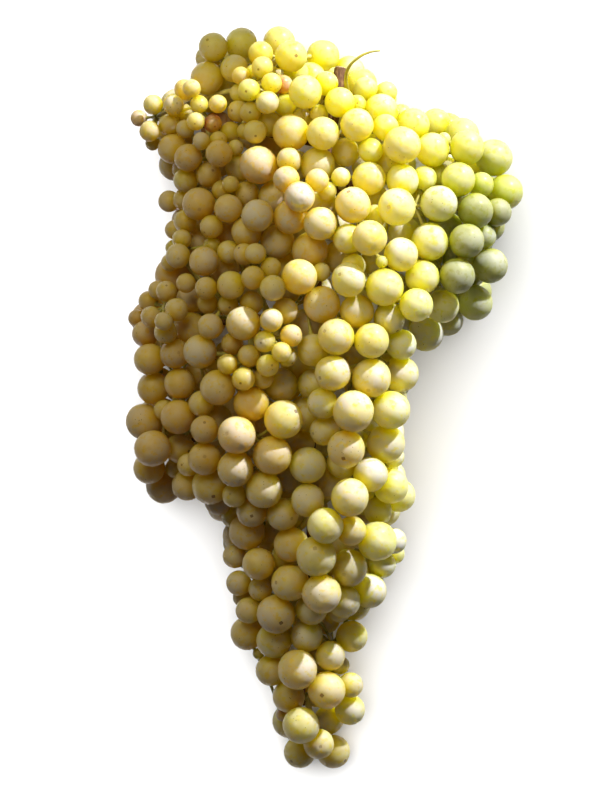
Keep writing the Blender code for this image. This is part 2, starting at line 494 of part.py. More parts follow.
def choose_stalk_ends(centres, radii, sprigs, knots, points, edges, point_radii):
    """Where each sprig's stalk meets the axis or an arm: short, and clear of everything else."""
    spots = []
    lines = []
    wood_starts = np.array([points[first] for first, _ in edges])
    wood_ends = np.array([points[second] for _, second in edges])
    wood = np.array([max(point_radii[first], point_radii[second]) for first, second in edges]) + WOOD_MARGIN
    for start, end in zip(wood_starts, wood_ends):
        length = np.linalg.norm(end - start)
        for share in np.linspace(0.0, 1.0, max(3, int(length / SPOT_PITCH)))[1:-1]:
            spots.append(start + (end - start) * share)
            lines.append((end - start) / length)
    spots = np.array(spots)
    spots_left = np.ones(len(spots), dtype=bool)
    order = np.argsort([np.linalg.norm(spots - knot, axis=1).min() for knot in knots])
    room = STALK_DIAMETER / 2 + GAP
    ends = np.zeros_like(knots)
    end_lines = np.zeros_like(knots)
    placed = []
    for number in order:
        knot = knots[number]
        reach = np.linalg.norm(spots - knot, axis=1)
        others = sprigs != number
        other_knots = np.delete(knots, number, axis=0)
        best = None
        for spot in np.argsort(reach)[:SPOTS_TRIED]:
            if not spots_left[spot]:
                continue
            end = spots[spot]
            away = (knot - end) / reach[spot]
            outside = end + away * (STALK_LEAST + wood.max())
            lean = np.linalg.norm(np.cross(away, lines[spot]))
            cost = reach[spot] + LEAN_COST * max(STALK_STEEPEST - lean, 0.0)
            cost += STEM_COST * crowding(knot, outside, wood_starts, wood_ends, wood + room)
            cost += BERRY_COST * crowding(knot, end, centres, centres, radii + room)
            cost += STEM_COST * crowding(knot, end, knots[sprigs][others], centres[others],
                                         PEDICEL_DIAMETER / 2 + room)
            cost += STEM_COST * crowding(knot, end, other_knots, other_knots, KNOT_DIAMETER / 2 + room)
            if placed:
                cost += STEM_COST * crowding(knot, end, knots[placed], ends[placed],
                                             STALK_DIAMETER / 2 + room)
            if best is None or cost < best[0]:
                best = (cost, spot)
        ends[number] = spots[best[1]]
        end_lines[number] = lines[best[1]]
        spots_left[best[1]] = False
        placed.append(number)
    return ends, end_lines


# ---- modelling

def empty_scene():
    """Removes what the scene holds, so that a second run starts clean."""
    for thing in list(bpy.data.objects):
        bpy.data.objects.remove(thing, do_unlink=True)


def berry_colour(x, y):
    """Amber on the left of the bunch, yellow-green in its middle, greener on the right wing."""
    amber = np.array((0.42, 0.30, 0.05))
    yellow = np.array((0.62, 0.60, 0.10))
    green = np.array((0.36, 0.44, 0.08))
    if x < 0:
        return yellow + (amber - yellow) * min(1.0, -x / 40.0)
    if y > 30:
        return yellow + (green - yellow) * min(1.0, x / 60.0)
    return yellow


def make_material(name, colour, roughness):
    """A plain Principled material of one colour."""
    material = bpy.data.materials.new(name)
    material.use_nodes = True
    shader = material.node_tree.nodes["Principled BSDF"]
    shader.inputs["Base Color"].default_value = (*colour, 1.0)
    shader.inputs["Roughness"].default_value = roughness
    shader.inputs["Metallic"].default_value = 0.0
    material.diffuse_color = (*colour, 1.0)
    return material


def make_rachis(collection, points, edges, radii):
    """The woody axis and its arms, skinned over their skeleton as one branching solid."""
    mesh = bpy.data.meshes.new("rachis")
    mesh.from_pydata([Vector(point) * MM for point in points], edges, [])
    thing = bpy.data.objects.new("rachis", mesh)
    collection.objects.link(thing)
    skin = thing.modifiers.new("Skin", "SKIN")
    skin.use_smooth_shade = True
    for vertex, radius in zip(mesh.skin_vertices[0].data, radii):
        side = radius * MM / math.sqrt(2)
        vertex.radius = (side, side)
    mesh.skin_vertices[0].data[0].use_root = True
    plain = thing.modifiers.new("Decimate", "DECIMATE")
    plain.decimate_type = "DISSOLVE"
    plain.angle_limit = math.radians(FLAT_ANGLE)
    mesh.materials.append(make_material("rachis_wood", (0.13, 0.06, 0.025), 0.7))
    return thing


def make_tendril(collection):
    """The thin dry tendril: a tapering wire through its points."""
    curve = bpy.data.curves.new("tendril", "CURVE")
    curve.dimensions = "3D"
    curve.bevel_depth = TENDRIL_DIAMETER / 2 * MM
    curve.bevel_resolution = 2
    curve.use_fill_caps = True
    points = smooth_route([to_size(*point) for point in TENDRIL], 5)
    spline = curve.splines.new("POLY")
    spline.points.add(len(points) - 1)
    for index, point in enumerate(points):
        spline.points[index].co = (*(Vector(point) * MM), 1.0)
        spline.points[index].radius = 1.0 - TENDRIL_TAPER * index / (len(points) - 1)
    thing = bpy.data.objects.new("tendril", curve)
    collection.objects.link(thing)
    curve.materials.append(make_material("tendril_stem", (0.50, 0.46, 0.10), 0.5))
    return thing


def smooth_route(points, steps):
    """Points along a smooth curve (Catmull-Rom) through the given ones."""
    padded = [2 * points[0] - points[1]] + list(points) + [2 * points[-1] - points[-2]]
    route = []
    for index in range(len(points) - 1):
        before, start, end, after = padded[index:index + 4]
        for step in range(steps):
            t = step / steps
            route.append(0.5 * (2 * start + (end - before) * t
                                + (2 * before - 5 * start + 4 * end - after) * t ** 2
                                + (3 * start - before - 3 * end + after) * t ** 3))
    route.append(points[-1])
    return route


def add_ball(bm, centre, radius, face_toward):
    """A faceted ball with one of its faces turned squarely to a point. Gives its faces, that one first."""
    before = set(bm.faces)
    ball = bmesh.ops.create_icosphere(bm, subdivisions=1, radius=radius)
    faces = [face for face in bm.faces if face not in before]
    faces[0].normal_update()
    turn = faces[0].normal.rotation_difference((face_toward - centre).normalized())
    place = Matrix.Translation(centre) @ turn.to_matrix().to_4x4()
    bmesh.ops.transform(bm, matrix=place, verts=ball["verts"])
    for face in faces:
        face.normal_update()
    return faces


def best_faces(faces, directions):
    """A face of its own for each direction, the closest pairs being matched first."""
    pairs = []
    for face in faces:
        for index, direction in enumerate(directions):
            pairs.append((-face.normal.dot(direction), index, face.index, face))
    chosen = {}
    taken = set()
    for _, index, key, face in sorted(pairs, key=lambda pair: pair[:3]):
        if index not in chosen and key not in taken:
            chosen[index] = face
            taken.add(key)
    return [chosen[index] for index in range(len(directions))]


def bridge(bm, first, second):
    """Joins two faces by a tube between their edges."""
    edges = list(first.edges) + list(second.edges)
    bmesh.ops.delete(bm, geom=[first, second], context="FACES_ONLY")
    bmesh.ops.bridge_loops(bm, edges=edges)


def grow_stalk(bm, face, seat, normal):
    """Draws a face of the knot out to the stalk's end, which lies flat over the wood at seat."""
    stalk = bmesh.ops.extrude_discrete_faces(bm, faces=[face])["faces"][0]
    middle = stalk.calc_center_median()
    side = stalk.verts[0].co - middle
    side = (side - normal * side.dot(normal)).normalized()
    across = (-normal).cross(side)
    for index, vertex in enumerate(stalk.verts):
        angle = 2 * math.pi * index / 3
        vertex.co = seat + (side * math.cos(angle) + across * math.sin(angle)) * STALK_DIAMETER / 2 * MM


def make_sprig(collection, name, knot, berries, seat, normal):
    """One sprig: its knot, its stalk, and a pedicel and a berry for each centre and radius."""
    knot = Vector(knot) * MM
    bm = bmesh.new()
    centres = [Vector(centre) * MM - knot for centre, _ in berries]
    away = [centre.normalized() for centre in centres]
    stalk_end = seat - knot
    knot_faces = add_ball(bm, Vector(), KNOT_DIAMETER / 2 * MM, centres[0])
    bm.faces.index_update()
    starts = best_faces(knot_faces, [stalk_end.normalized()] + away)
    grow_stalk(bm, starts[0], stalk_end, normal)
    for start, centre, (_, radius) in zip(starts[1:], centres, berries):
        face = add_ball(bm, centre, radius * MM, Vector())[0]
        inside = face.calc_perimeter() / (6 * math.sqrt(3))
        inset = inside - PEDICEL_DIAMETER / 4 * MM
        bmesh.ops.inset_individual(bm, faces=[face], thickness=inset)
        bridge(bm, start, face)
    bmesh.ops.recalc_face_normals(bm, faces=bm.faces)
    mesh = bpy.data.meshes.new(name)
    bm.to_mesh(mesh)
    bm.free()
    mesh.shade_smooth()
    thing = bpy.data.objects.new(name, mesh)
    thing.location = knot
    collection.objects.link(thing)
    middle = sum((Vector(centre) for centre, _ in berries), Vector()) / len(berries)
    mesh.materials.append(make_material(name + "_skin", berry_colour(middle.x, middle.y), 0.35))
    return thing


def world_corners(things):
    """Lowest and highest world coordinates of the evaluated objects."""
    bpy.context.view_layer.update()
    depsgraph = bpy.context.evaluated_depsgraph_get()
    corners = []
    for thing in things:
        evaluated = thing.evaluated_get(depsgraph)
        mesh = evaluated.to_mesh()
        corners += [thing.matrix_world @ vertex.co for vertex in mesh.vertices]
        evaluated.to_mesh_clear()
    low = Vector([min(corner[axis] for corner in corners) for axis in range(3)])
    high = Vector([max(corner[axis] for corner in corners) for axis in range(3)])
    return low, high


def seat_on(tree, knot, spot, line):
    """Where a stalk from a knot lies over the wood: square to the wood's line, clear of its surface."""
    spot = Vector(spot) * MM
    line = Vector(line)
    normal = Vector(knot) * MM - spot
    normal = (normal - line * normal.dot(line)).normalized()
    across = normal.cross(line)
    start = spot + normal * STALK_LEAST * 2 * MM
    height = 0.0
    for step in range(SEAT_RAYS + 1):
        angle = 2 * math.pi * step / SEAT_RAYS
        reach = STALK_DIAMETER / 2 * MM if step < SEAT_RAYS else 0.0
        edge = start + (line * math.cos(angle) + across * math.sin(angle)) * reach
        hit = tree.ray_cast(edge, -normal)[0]
        if hit is not None:
            height = max(height, (hit - spot).dot(normal))
    return spot + normal * (height + GAP * MM), normal


def main():
    empty_scene()
    collection = bpy.data.collections.new(NAME)
    bpy.context.scene.collection.children.link(collection)

    centres, radii, sprigs, knots, names, seen = all_berries()
    points, edges, point_radii = skeleton()
    tendril = np.array(smooth_route([to_size(*point) for point in TENDRIL], 1))
    starts = np.concatenate(([points[first] for first, _ in edges], tendril[:-1]))
    ends = np.concatenate(([points[second] for _, second in edges], tendril[1:]))
    wood = np.array([max(point_radii[first], point_radii[second]) for first, second in edges])
    thickness = np.concatenate((wood + WOOD_MARGIN, np.full(len(tendril) - 1, TENDRIL_DIAMETER / 2)))
    fixed = (starts, ends, thickness)
    centres, knots = settle(centres, radii, sprigs, knots, seen, fixed)
    stalk_ends, stalk_lines = choose_stalk_ends(centres, radii, sprigs, knots, points, edges, point_radii)
    centres, knots = settle(centres, radii, sprigs, knots, seen, fixed, stalk_ends)
    radii = shrink_to_fit(centres, radii, sprigs, knots, fixed, stalk_ends)

    rachis = make_rachis(collection, points, edges, point_radii)
    bpy.context.view_layer.update()
    tree = BVHTree.FromObject(rachis, bpy.context.evaluated_depsgraph_get())
    things = [rachis, make_tendril(collection)]
    for number, name in enumerate(names):
        berries = [(centres[index], radii[index]) for index in np.flatnonzero(sprigs == number)]
        seat, normal = seat_on(tree, knots[number], stalk_ends[number], stalk_lines[number])
        things.append(make_sprig(collection, "sprig_" + name, knots[number], berries, seat, normal))

    low, high = world_corners(things)
    frame = bpy.data.objects.new(NAME + "_frame", None)
    collection.objects.link(frame)
    for thing in things:
        thing.parent = frame
    frame.location = (-(low.x + high.x) / 2, -(low.y + high.y) / 2, -low.z)


main()
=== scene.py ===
# %% [markdown]
# # A bunch of white grapes
#
# The frame of the model is already there: sixty plain solids, one for the woody axis, one for
# the tendril and one for each sprig. This lesson gives them their looks. The solids say where
# every berry hangs and how large it is, so nothing has to be placed by eye.

# %% Load the frame and keep its size
import math

import bpy
import numpy as np
from mathutils import Matrix, Vector


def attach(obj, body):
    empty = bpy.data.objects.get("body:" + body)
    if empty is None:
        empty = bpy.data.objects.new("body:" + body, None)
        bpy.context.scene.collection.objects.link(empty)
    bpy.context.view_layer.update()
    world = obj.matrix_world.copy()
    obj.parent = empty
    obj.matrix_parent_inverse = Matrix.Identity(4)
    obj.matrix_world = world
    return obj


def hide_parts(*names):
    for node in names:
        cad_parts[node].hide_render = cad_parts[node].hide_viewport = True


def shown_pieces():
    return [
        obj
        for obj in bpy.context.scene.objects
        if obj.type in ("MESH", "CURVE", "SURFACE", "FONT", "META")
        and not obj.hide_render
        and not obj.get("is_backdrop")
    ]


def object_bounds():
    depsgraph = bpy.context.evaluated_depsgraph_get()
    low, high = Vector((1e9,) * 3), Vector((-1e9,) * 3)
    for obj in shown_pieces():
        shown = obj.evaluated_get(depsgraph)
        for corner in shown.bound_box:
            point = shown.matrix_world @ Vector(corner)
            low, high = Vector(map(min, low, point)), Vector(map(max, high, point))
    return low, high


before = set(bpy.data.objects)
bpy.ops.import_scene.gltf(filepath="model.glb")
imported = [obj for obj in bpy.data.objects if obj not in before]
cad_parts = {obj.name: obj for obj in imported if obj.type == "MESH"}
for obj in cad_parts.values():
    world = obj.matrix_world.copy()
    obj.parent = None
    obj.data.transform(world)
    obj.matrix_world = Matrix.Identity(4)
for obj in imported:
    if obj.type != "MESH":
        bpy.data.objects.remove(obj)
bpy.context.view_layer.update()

MM = 0.001

# %% [markdown]
# ## Reading the sprigs
#
# In the frame a berry is a faceted ball with twenty equal faces, less the one that its stem
# grows into. A regular triangle tells where the middle of its ball is: straight in from its own
# middle, at 0.7947 of the ball's radius. We could copy the berries' places into a table, but then
# a change to the frame would leave the berries behind. So each triangle votes for a middle, and
# where many votes fall together there is a ball. The ball with the fewest whole faces is the
# knot, the place where the sprig's stalk divides into one thin stem for each berry.

# %% Find the balls, the knot and the stalk's end of each sprig
BALL_SIDE = 1.0515          # side of a triangle on a twenty-sided ball of radius 1
BALL_DEPTH = 0.7947         # and how far its middle lies from the ball's
SAME_BALL = 0.3 * MM        # votes that fall this close are for one ball
LEAST_VOTES = 6             # and fewer votes than this make none
SAME_LENGTH = 1.01          # how much longer one side of a regular triangle may seem than another
STALK_SIDE = 2.078 * MM     # side of the small triangle that closes a stalk
STALK_SIDE_OFF = 0.02 * MM


def read_triangles(thing):
    """The regular triangles of a node: their middles, outward normals and sides."""
    points = np.array([vertex.co for vertex in thing.data.vertices])
    corners = points[np.array([face.vertices[:] for face in thing.data.polygons])]
    sides = np.linalg.norm(corners - np.roll(corners, 1, axis=1), axis=2)
    regular = sides.max(axis=1) < SAME_LENGTH * sides.min(axis=1)
    corners = corners[regular]
    normals = np.cross(corners[:, 1] - corners[:, 0], corners[:, 2] - corners[:, 0])
    normals /= np.linalg.norm(normals, axis=1)[:, None]
    return corners.mean(axis=1), normals, sides[regular].mean(axis=1)


def read_sprig(thing):
    """A sprig's knot, the end of its stalk, and the middle and radius of each berry."""
    middles, normals, sides = read_triangles(thing)
    radii = sides / BALL_SIDE
    votes = middles - normals * (BALL_DEPTH * radii)[:, None]
    free = np.ones(len(votes), dtype=bool)
    balls = []
    for index in range(len(votes)):
        near = free & (np.linalg.norm(votes - votes[index], axis=1) < SAME_BALL)
        if free[index] and near.sum() >= LEAST_VOTES:
            free &= ~near
            balls.append((int(near.sum()), votes[near].mean(axis=0), radii[near].mean()))
    balls.sort(key=lambda ball: ball[0])
    knot = Vector(balls[0][1])
    ends = middles[free & (abs(sides - STALK_SIDE) < STALK_SIDE_OFF)]
    end = Vector(ends[np.linalg.norm(ends - balls[0][1], axis=1).argmax()])
    return knot, end, [(Vector(middle), float(radius)) for _, middle, radius in balls[1:]]


sprigs = {name: read_sprig(thing) for name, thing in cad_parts.items() if name.startswith("sprig_")}
berry_count = sum(len(berries) for _, _, berries in sprigs.values())
print("sprigs:", len(sprigs), "berries:", berry_count)

# %% [markdown]
# ## Small helpers for modelling by hand
#
# An operator acts on whatever is selected, and the frame's nodes come in selected. So each step
# starts by picking just the pieces that it means. In edit mode we choose faces by the way they
# look, where a modeller would click on them.

# %% Picking things and finishing them


def pick(*things):
    """Selects just these things, and makes the first one active."""
    bpy.ops.object.select_all(action="DESELECT")
    for thing in things:
        thing.select_set(True)
    bpy.context.view_layer.objects.active = things[0]


def pick_faces(thing, wanted):
    """Opens edit mode with just the faces selected whose normal is wanted."""
    pick(thing)
    bpy.ops.object.mode_set(mode="EDIT")
    bpy.ops.mesh.select_mode(type="FACE")
    bpy.ops.mesh.select_all(action="DESELECT")
    bpy.ops.object.mode_set(mode="OBJECT")
    for face in thing.data.polygons:
        face.select = bool(wanted(face.normal))
    bpy.ops.object.mode_set(mode="EDIT")


def finish_modifier(thing, kind, **settings):
    """Adds a modifier with its settings and applies it."""
    pick(thing)
    modifier = thing.modifiers.new(kind.title(), kind)
    for name, value in settings.items():
        setattr(modifier, name, value)
    bpy.ops.object.modifier_apply(modifier=modifier.name)


def smooth_once(thing):
    """One level of Subdivision Surface, applied."""
    finish_modifier(thing, "SUBSURF", levels=1, render_levels=1)


def join(name, things):
    """Joins things into one piece with a name."""
    pick(*things)
    if len(things) > 1:
        bpy.ops.object.join()
    piece = things[0]
    piece.name = name
    piece.data.name = name
    return piece


def put(name, mesh, place):
    """A new object from a mesh of its own, moved to its place."""
    mesh.transform(place)
    thing = bpy.data.objects.new(name, mesh)
    bpy.context.scene.collection.objects.link(thing)
    return thing


def copy_of(pattern, place):
    """A copy of a pattern piece with its own mesh, put in its place."""
    return put(pattern.name + "_copy", pattern.data.copy(), place)


def mark(mesh, name, value):
    """Writes a number, or one number for each vertex, into a named attribute."""
    attribute = mesh.attributes.get(name) or mesh.attributes.new(name, "FLOAT", "POINT")
    values = np.broadcast_to(np.asarray(value, dtype=np.float32), len(mesh.vertices))
    attribute.data.foreach_set("value", np.ascontiguousarray(values))


# %% [markdown]
# ## One berry
#
# A wine grape is nearly round, with a shallow dimple where its stem enters and a small dark scar,
# left by the flower, at the far end. A UV sphere would crowd its faces at the two poles, just
# where the detail is, and would need many of them. A cube that is divided in three each way and
# cast to a sphere has an even net of 54 faces, with one square face at each pole: the upper one
# is inset and pushed in for the dimple, the lower one is inset twice as far for the scar. As
# there are more than 400 berries, each copy keeps this light net, and a level of Subdivision
# Surface rounds a whole sprig at once. Subdividing pulls a net in, so the net is drawn out first,
# by what one level would take off each of its points.

# %% Model the berry's net
DRAW_OUT_ROUNDS = 4         # rounds until the subdivided net is a ball of radius 1
DIMPLE_INSET = 0.13
DIMPLE_DEPTH = 0.07
SCAR_INSET = 0.24
SCAR_HEIGHT = 0.03
SCAR_WIDTH = 0.25           # points this near the axis belong to the scar
POLE = 0.95                 # and the faces that look up or down this squarely are the poles

bpy.ops.object.select_all(action="DESELECT")
bpy.ops.mesh.primitive_cube_add(size=2.0)
berry_net = bpy.context.object
berry_net.name = "berry_net"
bpy.ops.object.mode_set(mode="EDIT")
bpy.ops.mesh.select_all(action="SELECT")
bpy.ops.mesh.subdivide(number_cuts=2)
bpy.ops.object.mode_set(mode="OBJECT")
finish_modifier(berry_net, "CAST", cast_type="SPHERE", factor=1.0, radius=0.0)


def smoothed_points(thing):
    """Where one level of subdivision puts each point of a net."""
    modifier = thing.modifiers.new("Look", "SUBSURF")
    modifier.levels = 1
    evaluated = thing.evaluated_get(bpy.context.evaluated_depsgraph_get())
    mesh = evaluated.to_mesh()
    points = [vertex.co.copy() for vertex in mesh.vertices[:len(thing.data.vertices)]]
    evaluated.to_mesh_clear()
    thing.modifiers.remove(modifier)
    return points


for _ in range(DRAW_OUT_ROUNDS):
    for vertex, point in zip(berry_net.data.vertices, smoothed_points(berry_net)):
        vertex.co /= point.length
print("berry net:", len(berry_net.data.polygons), "faces, drawn out to",
      round(max(vertex.co.length for vertex in berry_net.data.vertices), 3))

# %% Press in the dimple and raise the scar
pick_faces(berry_net, lambda normal: normal.z > POLE)
bpy.ops.mesh.inset(thickness=DIMPLE_INSET)
bpy.ops.transform.translate(value=(0.0, 0.0, -DIMPLE_DEPTH))
bpy.ops.object.mode_set(mode="OBJECT")
pick_faces(berry_net, lambda normal: normal.z < -POLE)
bpy.ops.mesh.inset(thickness=SCAR_INSET)
bpy.ops.transform.translate(value=(0.0, 0.0, SCAR_HEIGHT))
bpy.ops.object.mode_set(mode="OBJECT")
pick(berry_net)
bpy.ops.object.shade_smooth()
heights = np.array([vertex.co.z for vertex in berry_net.data.vertices])
widths = np.array([vertex.co.xy.length for vertex in berry_net.data.vertices])
mark(berry_net.data, "scar", (heights < 0) & (widths < SCAR_WIDTH))
print("berry net:", len(berry_net.data.polygons), "faces")

# %% [markdown]
# ## Each berry's own colour
#
# No two berries on a bunch are the same. They go from a darker amber on the left to yellow-green
# on the right, partly their own ripeness and partly painted shade. The right wing is still green,
# and its lower part is painted a darker green as painted shade. A few have a red-brown cheek. A
# random colour for each would give a speckled bunch, so the ripeness and the painted shade follow
# the place of the berry first, and chance only adds a little. The numbers are written on each
# berry's points as attributes, where the material picks them up.

# %% Say how ripe each berry is and how much painted shade it gets
SPREAD = np.random.default_rng(11)
BLUSHED = (                 # x, y of the berries with a reddish cheek, in mm, and how strong it is
    (-15.5, 123.5, 0.9), (-44, 108.3, 1.0), (-16.3, -127.5, 0.9), (-10.4, 78.5, 0.45), (-36, 21, 0.35),
    (-71, 25, 0.4), (-74.3, 31.5, 0.4), (-67.8, 32, 0.3), (-74.3, 112.5, 0.5), (-21, 43, 0.2),
)
BLUSH_REACH = 2.5           # a berry whose middle lies this near, in mm, is the one meant
RIPENESS_AND_SHADE_STOPS = (          # x in mm and the ripeness there, across the bunch; the darker amber on the left is partly painted shade
    (-80, 0.82), (-40, 0.76), (-15, 0.68), (5, 0.62), (25, 0.53), (40, 0.48), (80, 0.42),
)
WING_X = (38.0, 52.0)       # the wing starts between these, in mm
WING_Y = (28.0, 42.0)
WING_TOP_Y = (74.0, 88.0)   # its berries below these are painted darker, as painted shade
CROWN_Y = (100.0, 120.0)
EDGE = (90.0, 125.0)        # where x / 2 + y passes these, the upper right edge begins
GREENER_WING = 0.1          # how much less ripe the wing is
GREENER_AND_PAINTED_SHADE_UNDER = 0.22        # and how much more its lower part, which this paints darker as painted shade
GREENER_CROWN = 0.12
EDGE_WAX_LOST = 0.5         # share of their wax that the berries on the edge have lost


def share_between(value, low, high):
    """0 up to low, 1 from high on, and even in between."""
    return min(max((value - low) / (high - low), 0.0), 1.0)


def ripeness_and_shade_at(place):
    """0 is dark green, 0.5 yellow-green and 1 dark amber; the number also carries painted shade."""
    x, y = place.x / MM, place.y / MM
    ripe_and_shade = float(np.interp(x, *zip(*RIPENESS_AND_SHADE_STOPS)))
    on_wing = share_between(x, *WING_X) * share_between(y, *WING_Y)
    under_painted_shade = 1.0 - share_between(y, *WING_TOP_Y)
    on_crown = share_between(y, *CROWN_Y)
    # Taking off the wing's lower share paints those berries a darker green, as painted shade.
    return ripe_and_shade - on_wing * (GREENER_WING + GREENER_AND_PAINTED_SHADE_UNDER * under_painted_shade) - GREENER_CROWN * on_crown


def wax_at(place):
    """How much wax a berry kept: less along the upper right edge."""
    return 1.0 - EDGE_WAX_LOST * share_between(place.x / MM / 2 + place.y / MM, *EDGE)


def blush_at(place):
    """How red a berry's cheek is: 0 for nearly all of them."""
    for x, y, strength in BLUSHED:
        if math.hypot(place.x / MM - x, place.y / MM - y) < BLUSH_REACH:
            return strength
    return 0.0


# %% [markdown]
# ## Hang the berries
#
# Every berry is a copy of the net, turned so that its dimple faces the knot that its stem comes
# from, given a random roll and a slightly uneven form, and scaled to the radius that the frame
# gives. The copies of a sprig are joined and then rounded in one go. A berry shows its pale wax
# only where it lies open, partly because its neighbours rub it off and partly as painted shade
# between the berries. Its upper side is painted paler, as painted light. How far each point lies
# from the nearest other berry, and how far it faces up, can be worked out here and written down
# for the material.

# %% Place the copies, sprig by sprig
SKIN_OVER_FRAME = 0.15 * MM     # a real berry fills half of the gap that the frame leaves
UNEVEN = 0.02                   # how much a berry may be wider or longer than a ball, as a share
RIPENESS_SPREAD = 0.035         # how much chance adds to a berry's ripeness
LEAST_BLOOM = 0.55              # share of bloom on the berry that has least
CLEAR_OF_PAINTED_SHADE_AT = 5.0 * MM              # a point this far from other berries keeps all its wax; nearer ones lose it as rubbed wax and painted shade
SIDE_SHARE_UNDER_PAINTED_LIGHT = 0.3                  # share of the wax on the sides and underneath, below the painted light on top
PAINTED_LIGHT_UP_FROM = 0.75                  # how far up a face looks where the painted light is strongest
POINTS_AT_ONCE = 2000           # so that the table of distances stays small


def hang_berry(knot, middle, radius):
    """One copy of the net at its place, with its own colour numbers."""
    size = radius + SKIN_OVER_FRAME
    wide, deep, tall = 1.0 + SPREAD.uniform(-UNEVEN, UNEVEN, 3)
    turn = (knot - middle).to_track_quat("Z", "Y").to_matrix().to_4x4()
    roll = Matrix.Rotation(SPREAD.uniform(0.0, 2 * math.pi), 4, "Z")
    form = Matrix.Diagonal((wide * size, deep * size, tall * size, 1.0))
    thing = copy_of(berry_net, Matrix.Translation(middle) @ turn @ roll @ form)
    # The ripeness number also carries painted shade: darker on the left and on the wing's lower part.
    mark(thing.data, "ripeness", ripeness_and_shade_at(middle) + SPREAD.normal(0.0, RIPENESS_SPREAD))
    mark(thing.data, "blush", blush_at(middle))
    mark(thing.data, "bloom", SPREAD.uniform(LEAST_BLOOM, 1.0) * wax_at(middle))
    mark(thing.data, "chance", SPREAD.uniform(0.0, 1.0))
    return thing


def write_wax_and_painted_light(piece, middles, radii):
    """How much pale wax each point shows: least near other berries, as rubbed wax and painted shade, and
    most on open upper sides, as painted light.
    """
    points = np.array([vertex.co for vertex in piece.data.vertices])
    rise = np.array([vertex.normal.z for vertex in piece.data.vertices])
    room = np.empty(len(points))
    for start in range(0, len(points), POINTS_AT_ONCE):
        some = points[start:start + POINTS_AT_ONCE]
        gaps = np.linalg.norm(some[:, None, :] - middles[None, :, :], axis=2) - radii
        room[start:start + POINTS_AT_ONCE] = np.partition(gaps, 1, axis=1)[:, 1]
    painted_light_up = SIDE_SHARE_UNDER_PAINTED_LIGHT + (1.0 - SIDE_SHARE_UNDER_PAINTED_LIGHT) * np.clip(rise / PAINTED_LIGHT_UP_FROM, 0.0, 1.0)
    mark(piece.data, "wax", np.clip(room / CLEAR_OF_PAINTED_SHADE_AT, 0.0, 1.0) * painted_light_up)


every_middle = np.array([middle for _, _, berries in sprigs.values() for middle, _ in berries])
every_radius = np.array([radius for _, _, berries in sprigs.values() for _, radius in berries])
berry_pieces = []
for name, (knot, _, berries) in sprigs.items():
    copies = [hang_berry(knot, middle, radius) for middle, radius in berries]
    piece = join("berries_" + name.removeprefix("sprig_"), copies)
    smooth_once(piece)
    write_wax_and_painted_light(piece, every_middle, every_radius)
    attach(piece, "root")
    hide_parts(name)
    berry_pieces.append(piece)
bpy.data.objects.remove(berry_net)
print("berry pieces:", len(berry_pieces), "faces:", sum(len(piece.data.polygons) for piece in berry_pieces))

# %% [markdown]
# ## One thin stem
#
# The stem of a berry, its pedicel, leaves the knot a little thick, thins towards its middle and
# widens just before the berry into a collar, the receptacle. It could be a curve with a bevel,
# but hundreds of bevelled curves are heavy. So one is modelled from a six-sided disc, extruded
# ring by ring, on a length of 1, and each copy is stretched from its knot to its berry.

# %% Model the pedicel and the stalk


def draw_stem(name, sides, rings):
    """A stem along +Z, extruded from a disc: each ring is its height and radius."""
    bpy.ops.object.select_all(action="DESELECT")
    height, radius = rings[0]
    bpy.ops.mesh.primitive_circle_add(vertices=sides, radius=radius, fill_type="NGON")
    stem = bpy.context.object
    stem.name = name
    bpy.ops.object.mode_set(mode="EDIT")
    bpy.ops.mesh.select_all(action="SELECT")
    for next_height, next_radius in rings[1:]:
        step = (0.0, 0.0, next_height - height)
        bpy.ops.mesh.extrude_region_move(TRANSFORM_OT_translate={"value": step})
        grow = next_radius / radius
        bpy.ops.transform.resize(value=(grow, grow, 1.0))
        height, radius = next_height, next_radius
    bpy.ops.mesh.select_all(action="SELECT")
    bpy.ops.mesh.normals_make_consistent(inside=False)
    bpy.ops.object.mode_set(mode="OBJECT")
    bpy.ops.object.shade_smooth()
    return stem


pedicel_net = draw_stem("pedicel_net", 6, (
    (0.0, 1.6), (0.16, 1.15), (0.45, 0.95), (0.72, 1.0), (0.86, 1.25), (0.94, 1.9), (1.0, 2.0),
))
stalk_net = draw_stem("stalk_net", 8, (
    (0.0, 1.35), (0.2, 1.1), (0.55, 1.0), (0.82, 1.15), (1.0, 1.6), (1.06, 1.9),
))
print("pedicel:", len(pedicel_net.data.polygons), "faces, stalk:", len(stalk_net.data.polygons), "faces")

# %% [markdown]
# ## The stems of each sprig
#
# A sprig's stems are one grown thing: the stalk from the wood, the swollen knot and the pedicels.
# Here they are set into each other and joined. A real stem never runs straight, so each copy bows
# a little to one side, and the knot is a lump with random dents.

# %% Put the stems together
PEDICEL_RADIUS = 0.72 * MM
STALK_RADIUS = 1.15 * MM
KNOT_RADIUS = 1.85 * MM
THINNEST = 0.88             # least and most of a stem's thickness, as shares of its usual one
THICKEST = 1.08
BOW = 0.045                 # how far a stem bows aside, as a share of its length
KNOT_DENTS = 0.08           # how deep the knot's random dents are, as a share of its radius
COLLAR_IN_BERRY = 0.93      # the collar ends this share of the radius from the berry's middle


def span(net, start, end, radius):
    """A copy of a stem stretched from one point to another, with a random roll and bow."""
    along = end - start
    thick = radius * SPREAD.uniform(THINNEST, THICKEST)
    bent = net.data.copy()
    for vertex in bent.vertices:
        vertex.co.x += BOW * along.length / thick * math.sin(math.pi * min(vertex.co.z, 1.0))
    turn = along.to_track_quat("Z", "Y").to_matrix().to_4x4()
    roll = Matrix.Rotation(SPREAD.uniform(0.0, 2 * math.pi), 4, "Z")
    stretch = Matrix.Diagonal((thick, thick, along.length, 1.0))
    return put(net.name + "_copy", bent, Matrix.Translation(start) @ turn @ roll @ stretch)


